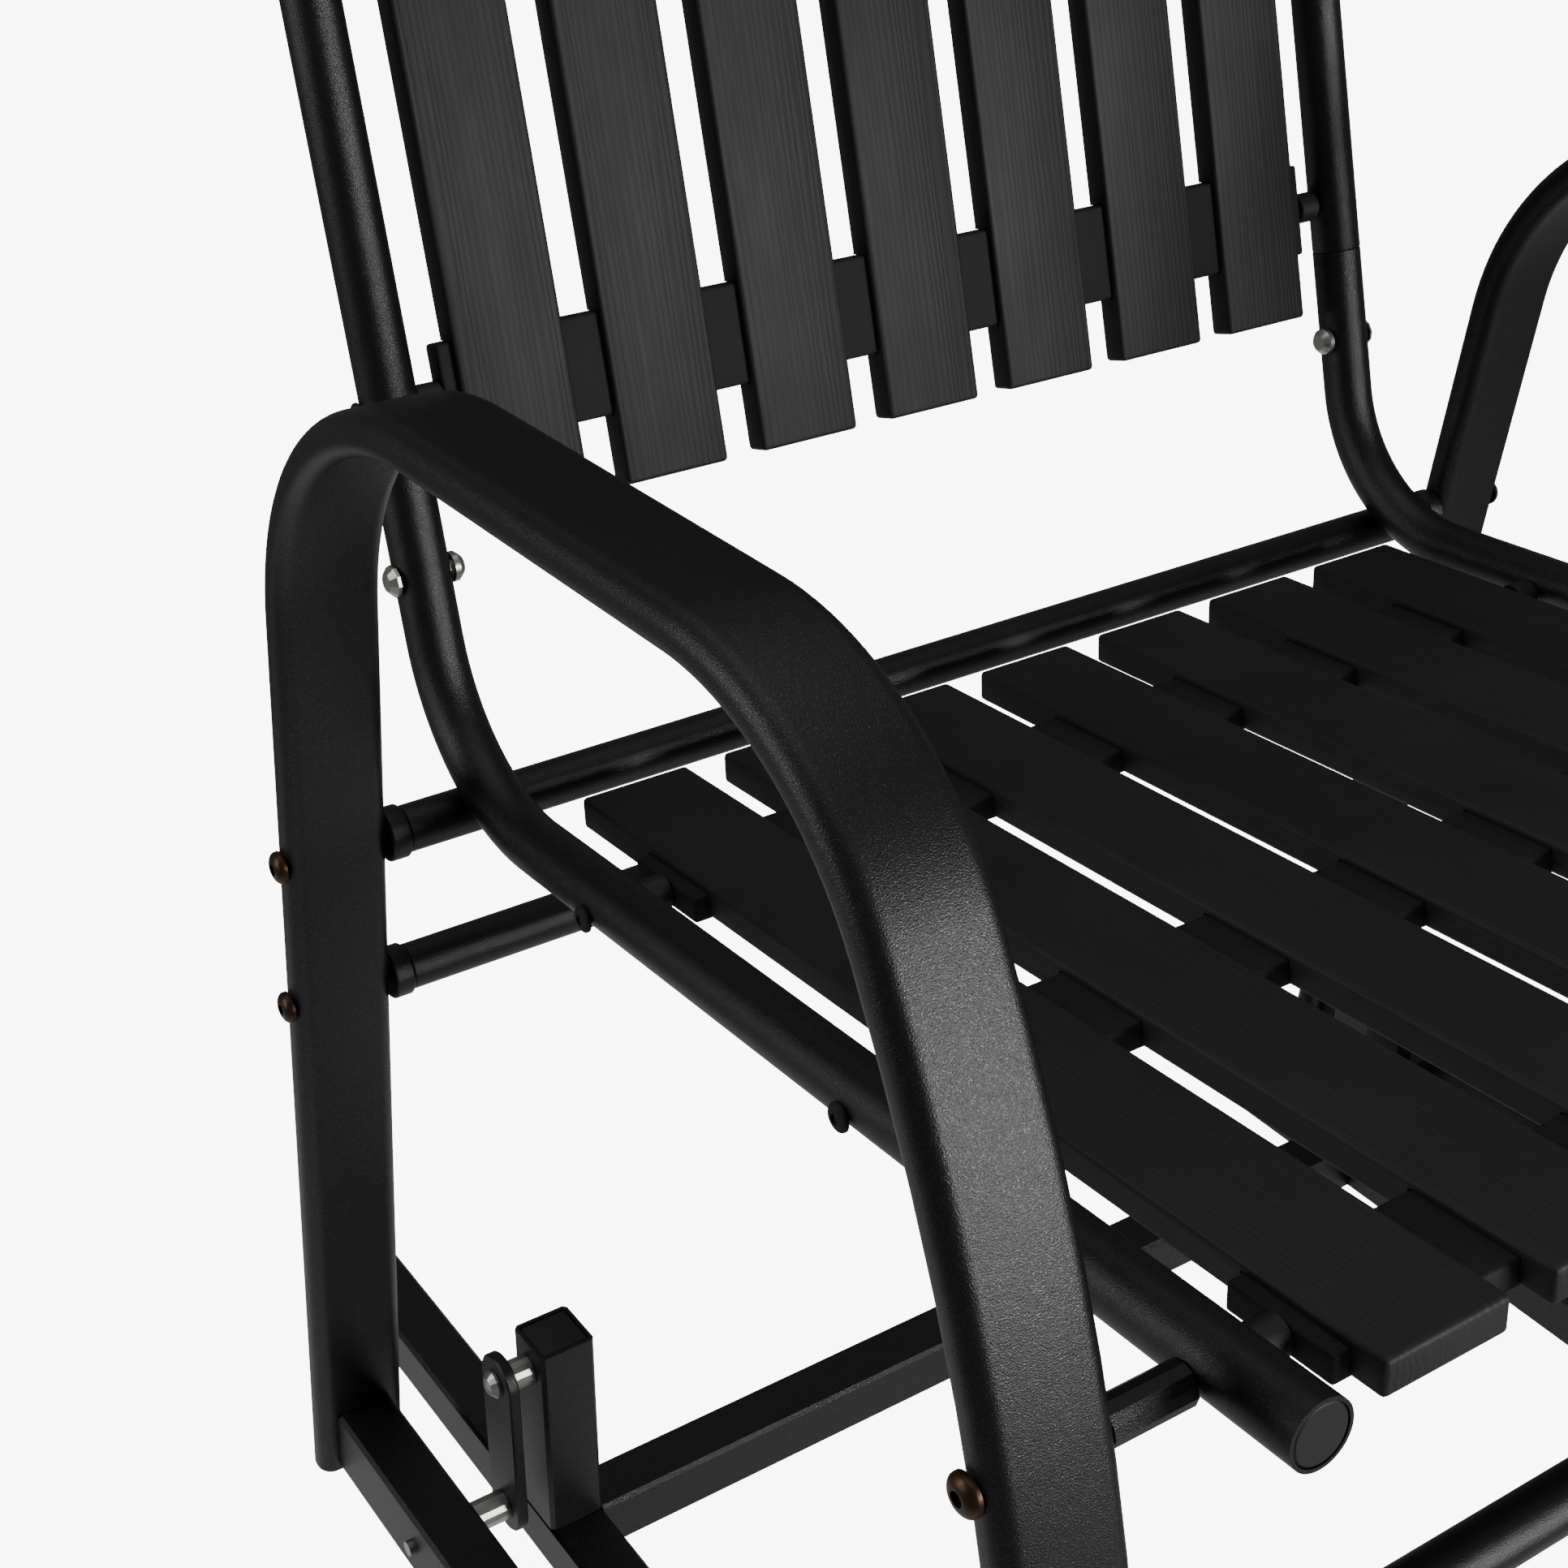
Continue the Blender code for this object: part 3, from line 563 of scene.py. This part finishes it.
# ---- Operators ---------------------------------------------------------------------------------
class SWING_OT_arm_frames(bpy.types.Operator):
    """Build both arm frames and the plugs in their feet"""
    bl_idname = "swing.arm_frames"
    bl_label = "Arm frames"

    def execute(self, context):
        size = context.scene.swing_sizes
        plane = SidePlane(size)
        line = plane.arm_line()
        width = extent("arm_frame_left").x

        def outline(inset):
            return soft_outline(width - 2 * inset, size.arm_thick - 2 * inset,
                                size.arm_edge - inset, 9)

        tube = bent_tube("arm_frame", line, outline, ARM_WALL)
        fit = outline(ARM_WALL + 0.0002)
        for name, side in SIDES:
            node = f"arm_frame_{name}"
            home = Matrix.Translation(Vector((middle(node).x, plane.corner.y, plane.corner.z)))
            add(f"arm_tube_{name}", tube, "arm_coat", "seat_unit", home, [node])
            for end, (spot, heading), up in (("rear", line[0], 1), ("front", line[-1], -1)):
                levels = ((outline(0.0016), 0.0), (outline(0.0006), 0.0008), (outline(0.0006), 0.0011),
                          (fit, 0.0014), (fit, PLUG_DEPTH))
                rings = [station_ring((spot + polar(heading) * up * reach, heading), shape)
                         for shape, reach in levels]
                plug = skin("leg_plug", rings)
                add(f"leg_plug_{end}_{name}", plug, "plug", "seat_unit", home)
        return {'FINISHED'}


class SWING_OT_side_tubes(bpy.types.Operator):
    """Build seat rails, back stiles and their knock-down bolts"""
    bl_idname = "swing.side_tubes"
    bl_label = "Side tubes"

    def execute(self, context):
        size = context.scene.swing_sizes
        plane = SidePlane(size)

        def outline(inset):
            return round_outline(size.tube_radius - inset, 40)

        start = polar(plane.seat) * size.rail_length
        line = trace(start, plane.seat + 180.0,
                     [(size.rail_length - plane.bend_run, 0), (size.tube_bend, plane.bend_turn),
                      (size.seam - plane.bend_run, 0)], size.bend_steps)
        rail = bent_tube("seat_rail", line, outline, TUBE_WALL)
        up = polar(plane.back)
        radius = size.tube_radius
        top = size.stile_length
        dome = size.stile_dome
        profile = [(radius * math.sin(math.radians(a)), top - dome + dome * math.cos(math.radians(a)))
                   for a in range(0, 91, 10)]
        profile += [(radius, size.seam + 0.0011), (radius - 0.0004, size.seam + GAP),
                    (radius - 0.0020, size.seam + GAP), (radius - 0.0020, size.seam - SPIGOT),
                    (0, size.seam - SPIGOT)]
        stile = turned("back_stile", profile)
        plug_profile = [(0, 0.0), (radius * 0.8, 0.0), (radius - 0.0018, -0.0006),
                        (radius - 0.0018, -PLUG_DEPTH), (0, -PLUG_DEPTH)]
        plug = turned("rail_plug", plug_profile)
        for name, side in SIDES:
            x = middle(f"side_rail_{name}").x
            home = Matrix.Translation(Vector((x, plane.corner.y, plane.corner.z)))
            add(f"seat_rail_{name}", rail, "tube_coat", "seat_unit", home, [f"side_rail_{name}"])
            stand = aim(plane.world(x, Vector((0, 0))), (0, *up))
            add(f"stile_{name}", stile, "tube_coat", "seat_unit", stand, [f"back_stile_{name}"])
            end = aim(plane.world(x, start), (0, *polar(plane.seat)))
            add(f"rail_plug_{name}", plug, "plug", "seat_unit", end)
        carry_over([f"back_joint_bolt_{name}" for name, _ in SIDES], "zinc")
        low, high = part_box("back_joint_bolt_left")
        spot = Vector(((low.y + high.y) / 2 - plane.corner.y, (low.z + high.z) / 2 - plane.corner.z))
        nut = [(0, 0.0062), (0.0042, 0.0062), (0.0058, 0.0046), (0.0070, 0.0030), (0.0070, 0.0004),
               (0.0044, 0.0004), (0.0044, 0.0)]
        inner = abs(middle("side_rail_left").x) - radius
        both_sides("joint_nut", turned("joint_nut", nut + [(0, 0.0)]), "zinc", inner - GAP, plane, spot)
        return {'FINISHED'}


class SWING_OT_cross_tubes(bpy.types.Operator):
    """Build the three cross tubes, their collars and the domed leg bolts"""
    bl_idname = "swing.cross_tubes"
    bl_label = "Cross tubes"

    def execute(self, context):
        size = context.scene.swing_sizes
        plane = SidePlane(size)
        end = extent("upper_cross_tube").x / 2
        neck = end - size.collar_length
        inset = 0.0008
        r, c = size.cross_radius, size.collar_radius
        tube = turned("cross_tube", [(r - 0.0016, -neck), (r - 0.0004, -neck), (r, -neck + 0.0004),
                                     (r, neck - 0.0004), (r - 0.0004, neck), (r - 0.0016, neck)])
        collar = turned("collar", [(0.004, 0.0), (c - inset, 0.0), (c, inset),
                                   (c, size.collar_length - 2 * inset),
                                   (c - 0.3 * inset, size.collar_length - 1.4 * inset),
                                   (c - inset, size.collar_length - inset),
                                   (r + 0.0001, size.collar_length),
                                   (0.004, size.collar_length)])
        for name in ("upper", "lower", "front"):
            node = f"{name}_cross_tube"
            spot = plane.spot(node)
            add(f"cross_{name}", tube, "tube_coat", "seat_unit",
                Matrix.Translation(plane.world(0, spot)), [node])
            both_sides(f"collar_{name}", collar, "tube_coat", end, plane, spot)
        head = size.bolt_head
        outer = -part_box("arm_frame_left")[0].x + GAP
        for name, node in (("upper", "upper_leg_bolt"), ("lower", "lower_leg_bolt"),
                           ("front", "front_leg_bolt")):
            low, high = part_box(f"{node}_left")
            shank = 0.003 if name == "front" else 0.004
            mesh = turned(node, dome_head(head, -low.x - outer, shank, high.x + outer))
            both_sides(f"bolt_{name}", mesh, "bronze", outer, plane, plane.spot(f"{node}_left"), node)
        carry_over([f"front_leg_spacer_{name}" for name, _ in SIDES], "tube_coat")
        return {'FINISHED'}


class SWING_OT_slats(bpy.types.Operator):
    """Build seat and back slats with rounded edges and notches over the bars"""
    bl_idname = "swing.slats"
    bl_label = "Slats"

    def execute(self, context):
        size = context.scene.swing_sizes
        plane = SidePlane(size)
        seat_bars = [plane.along(f"seat_bar_{n}", True) for n in ("rear", "middle", "front")]
        back_bars = [plane.along(f"back_bar_{n}", False) for n in ("lower", "upper")]
        for kind, on_seat, bars in (("seat", True, seat_bars), ("back", False, back_bars)):
            mesh = self.slat(size, plane, kind, on_seat, bars)
            for number in range(1, 8):
                node = f"{kind}_slat_{number}"
                x = middle(node).x
                add(f"{kind}_board_{number}", mesh, "board", "seat_unit",
                    plane.surface(on_seat, x, 0, size.slat_proud), [node])
        return {'FINISHED'}

    def slat(self, size, plane, kind, on_seat, bars):
        node = f"{kind}_slat_4"
        ends = []
        away = polar(plane.seat if on_seat else plane.back)
        for vert in frame["nodes"][node].data.vertices:
            point = vert.co - plane.corner
            ends.append(away.dot(Vector((point.y, point.z))))
        start, length = min(ends), max(ends) - min(ends)
        mesh = box_mesh(node, (extent(node).x, length, SLAT_THICK), size.slat_chamfer, 3)
        mesh.transform(Matrix.Translation((0, start + length / 2, -SLAT_THICK / 2)))
        depth = SLAT_THICK - size.bar_drop + GAP
        bm = bmesh.new()
        for bar in bars:
            made = bmesh.ops.create_cube(bm, size=1.0)
            bmesh.ops.scale(bm, vec=(NOTCH_WIDTH, size.bar_width + 2 * GAP, 2 * depth), verts=made["verts"])
            bmesh.ops.translate(bm, vec=(0, bar, -SLAT_THICK), verts=made["verts"])
        cutter_mesh = bpy.data.meshes.new("notches")
        bm.to_mesh(cutter_mesh)
        bm.free()
        body = bpy.data.objects.new("slat_blank", mesh)
        cutter = bpy.data.objects.new("notches", cutter_mesh)
        for thing in (body, cutter):
            bpy.context.scene.collection.objects.link(thing)
        notch = body.modifiers.new("notches", 'BOOLEAN')
        notch.operation = 'DIFFERENCE'
        notch.object = cutter
        bpy.context.view_layer.update()
        cut = bpy.data.meshes.new_from_object(
            body.evaluated_get(bpy.context.evaluated_depsgraph_get()))
        for thing in (body, cutter):
            bpy.data.objects.remove(thing)
        cut.materials.clear()
        cut.shade_smooth()
        cut.set_sharp_from_angle(angle=SHARP)
        return cut


class SWING_OT_bars(bpy.types.Operator):
    """Build the flat bars with their spacers, end bolts and slat screws"""
    bl_idname = "swing.bars"
    bl_label = "Cross bars"

    def execute(self, context):
        size = context.scene.swing_sizes
        plane = SidePlane(size)
        tube_in = abs(middle("side_rail_left").x) - size.tube_radius
        half = extent("seat_slat_4").x / 2 + abs(middle("seat_slat_1").x) + BAR_END
        level = size.slat_proud - size.bar_drop - size.bar_thick / 2
        bar = box_mesh("cross_bar", (2 * half, size.bar_width, size.bar_thick), 0.0018, 3)
        spacer = turned("bar_spacer", [(0.0033, GAP), (size.spacer_radius - 0.0006, GAP),
                                       (size.spacer_radius, 0.0009),
                                       (size.spacer_radius, tube_in - half - 0.0009),
                                       (size.spacer_radius - 0.0006, tube_in - half - GAP),
                                       (0.0033, tube_in - half - GAP)])
        end_bolt = turned("bar_bolt", dome_head(0.0060, 0.0030, 0.003,
                                                2 * size.tube_radius + 0.020))
        screw = turned("slat_screw", [(0, 0.0008), (0.0012, 0.0008), (0.0014, 0), (0.0030, 0),
                                      (0.0036, 0.0008), (0.0036, SCREW_HEAD), (0.0016, SCREW_HEAD),
                                      (0.0016, 0.004), (0, 0.004)], 20)
        bars = [("seat_bar_rear", True), ("seat_bar_middle", True), ("seat_bar_front", True),
                ("back_bar_lower", False), ("back_bar_upper", False)]
        for node, on_seat in bars:
            along = plane.along(node, on_seat)
            add(node.replace("bar", "cross_bar"), bar, "bar_coat", "seat_unit",
                plane.surface(on_seat, 0, along, level), [node])
            spot = plane.spot(node)
            both_sides(f"spacer_{node}", spacer, "plug", tube_in, plane, spot)
            if node != "seat_bar_front":
                both_sides(f"end_bolt_{node}", end_bolt, "bar_coat",
                           tube_in + 2 * size.tube_radius + GAP, plane, spot)
            under = level - size.bar_thick / 2 - GAP - SCREW_HEAD
            for number in range(1, 8):
                x = middle(f"seat_slat_{number}").x
                place = plane.surface(on_seat, x, along, under)
                add(f"screw_{node}_{number}", screw, "zinc", "seat_unit",
                    place @ Matrix.Rotation(math.radians(-90), 4, 'Y'))
        return {'FINISHED'}


class SWING_OT_links(bpy.types.Operator):
    """Build the swing links and give the hanger rails and pivot bolts their finish"""
    bl_idname = "swing.links"
    bl_label = "Swing links"

    def execute(self, context):
        drop = pivot("rear_left_swing").z - pivot("seat_level").z
        width = extent("link_rear_left").y
        thick = extent("link_rear_left").x
        outline = []
        for centre, first in ((0.0, 0.0), (-drop, 180.0)):
            for step in range(LINK_STEPS + 1):
                point = polar(first + 180.0 * step / LINK_STEPS)
                outline.append((point, centre))
        ease = 0.0008

        def ring(x, inset):
            return [Vector((x, p[0] * (width / 2 - inset), c + p[1] * (width / 2 - inset)))
                    for p, c in outline]

        link = skin("swing_link", [ring(-thick / 2, ease), ring(-thick / 2 + ease, 0.0),
                                   ring(thick / 2 - ease, 0.0), ring(thick / 2, ease)])
        for end in ENDS:
            for name, _ in SIDES:
                node = f"link_{end}_{name}"
                home = Matrix.Translation(pivot(f"{end}_{name}_swing"))
                add(f"swing_link_{end}_{name}", link, "tube_coat", node, home, [node])
        bolts = [f"{level}_pivot_bolt_{end}_{name}" for level in ("upper", "lower")
                 for end in ENDS for name, _ in SIDES]
        carry_over(bolts, "zinc")
        carry_over([f"hanger_rail_{name}" for name, _ in SIDES], "arm_coat")
        return {'FINISHED'}


class SWING_OT_base(bpy.types.Operator):
    """Finish the floor base and close its square tubes with caps"""
    bl_idname = "swing.base"
    bl_label = "Floor base"

    def execute(self, context):
        posts = [f"post_{end}_{name}" for end in ENDS for name, _ in SIDES]
        rails = [f"floor_rail_{name}" for name, _ in SIDES]
        carry_over(posts + rails + [f"base_cross_{end}" for end in ENDS], "arm_coat")
        side = extent("post_rear_left").x
        inner = side - 2 * BASE_WALL
        rings = [[Vector((z, a, b)) for a, b in soft_outline(inner - 2 * t, inner - 2 * t, 0.0012, 3)]
                 for t, z in ((0.0012, -0.0002), (0.0004, -0.0006), (0.0, -0.0012), (0.0, -CAP_DEPTH))]
        cap = skin("square_cap", rings)
        for node in posts:
            low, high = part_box(node)
            top = Vector(((low.x + high.x) / 2, (low.y + high.y) / 2, high.z))
            add(f"cap_{node}", cap, "plug", "base", aim(top, (0, 0, 1)))
        for node in rails:
            low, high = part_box(node)
            for label, y, way in (("front", low.y, -1), ("rear", high.y, 1)):
                spot = Vector(((low.x + high.x) / 2, y, (low.z + high.z) / 2))
                add(f"cap_{node}_{label}", cap, "plug", "base", aim(spot, (0, way, 0)))
        return {'FINISHED'}


class SWING_OT_studio(bpy.types.Operator):
    """Lay the pale floor, hang the soft lights and set the camera"""
    bl_idname = "swing.studio"
    bl_label = "Studio"

    def execute(self, context):
        plane = SidePlane(context.scene.swing_sizes)
        flat, sweep, wall = 9.0, 3.0, 14.0
        profile = [(0, 0)] + [(flat + sweep * math.sin(math.radians(a)),
                               sweep * (1 - math.cos(math.radians(a)))) for a in range(0, 91, 10)]
        shell = turned("floor", profile + [(flat + sweep, wall)], 72)
        floor = bpy.data.objects.new("floor", shell)
        context.scene.collection.objects.link(floor)
        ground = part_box("floor_rail_left")[0].z - 0.0005
        floor.matrix_world = aim((0, 0, ground), (0, 0, 1))
        floor.data.materials.append(finish("backdrop"))
        floor.visible_diffuse = False
        floor.visible_glossy = False
        floor.visible_shadow = False
        target = plane.corner + Vector((0.0, -0.25, 0.05))
        lights = (("key", (0.37, -0.92, 0.16), 2.65, 1.0, 0.75, 52.0),
                  ("overhead", (-0.10, 0.10, 1.0), 2.8, 3.0, 3.0, 18.0),
                  ("left_rim", (-0.95, 0.35, 0.25), 2.6, 0.8, 1.8, 16.0),
                  ("floor_bounce", (0.0, 0.1, -1.0), 1.6, 4.0, 4.0, 22.0))
        for name, way, distance, wide, high, power in lights:
            lamp = bpy.data.lights.new(name, 'AREA')
            lamp.shape = 'RECTANGLE'
            lamp.size = wide
            lamp.size_y = high
            lamp.energy = power
            holder = bpy.data.objects.new(name, lamp)
            context.scene.collection.objects.link(holder)
            holder.location = target + Vector(way).normalized() * distance
            aimed = (target - holder.location).to_track_quat('-Z', 'Y')
            holder.rotation_euler = aimed.to_euler()
        world = bpy.data.worlds.new("studio")
        world.use_nodes = True
        sky = world.node_tree.nodes["Background"]
        sky.inputs["Color"].default_value = (1.0, 1.0, 1.0, 1.0)
        sky.inputs["Strength"].default_value = 0.10
        context.scene.world = world
        lens = bpy.data.cameras.new("camera")
        lens.lens = 56.9
        lens.sensor_width = 36.0
        lens.dof.use_dof = False
        camera = bpy.data.objects.new("camera", lens)
        context.scene.collection.objects.link(camera)
        camera.location = plane.corner + CAMERA_PLACE
        camera.rotation_euler = (math.radians(90.0 - CAMERA_PITCH), 0.0, -math.radians(CAMERA_YAW))
        context.scene.camera = camera
        return {'FINISHED'}


class SWING_PT_parts(bpy.types.Panel):
    """Sidebar list of the swing's operators and sizes"""
    bl_idname = "SWING_PT_parts"
    bl_label = "Porch Swing"
    bl_space_type = 'VIEW_3D'
    bl_region_type = 'UI'
    bl_category = "Porch Swing"

    def draw(self, context):
        column = self.layout.column(align=True)
        for operator in OPERATORS:
            column.operator(operator.bl_idname)
        for group in (context.scene.swing_sizes, context.scene.swing_finishes):
            for name in group.__annotations__:
                self.layout.prop(group, name)


OPERATORS = (SWING_OT_arm_frames, SWING_OT_side_tubes, SWING_OT_cross_tubes, SWING_OT_slats,
             SWING_OT_bars, SWING_OT_links, SWING_OT_base, SWING_OT_studio)
CLASSES = (SwingSizes, SwingFinishes, *OPERATORS, SWING_PT_parts)


def register():
    for item in CLASSES:
        bpy.utils.register_class(item)
    bpy.types.Scene.swing_sizes = PointerProperty(type=SwingSizes)
    bpy.types.Scene.swing_finishes = PointerProperty(type=SwingFinishes)


def unregister():
    del bpy.types.Scene.swing_finishes
    del bpy.types.Scene.swing_sizes
    for item in reversed(CLASSES):
        bpy.utils.unregister_class(item)


def main():
    register()
    bpy.ops.swing.arm_frames()
    bpy.ops.swing.side_tubes()
    bpy.ops.swing.cross_tubes()
    bpy.ops.swing.slats()
    bpy.ops.swing.bars()
    bpy.ops.swing.links()
    bpy.ops.swing.base()
    bpy.ops.swing.studio()
    bpy.context.view_layer.update()


if __name__ == "__main__":
    main()
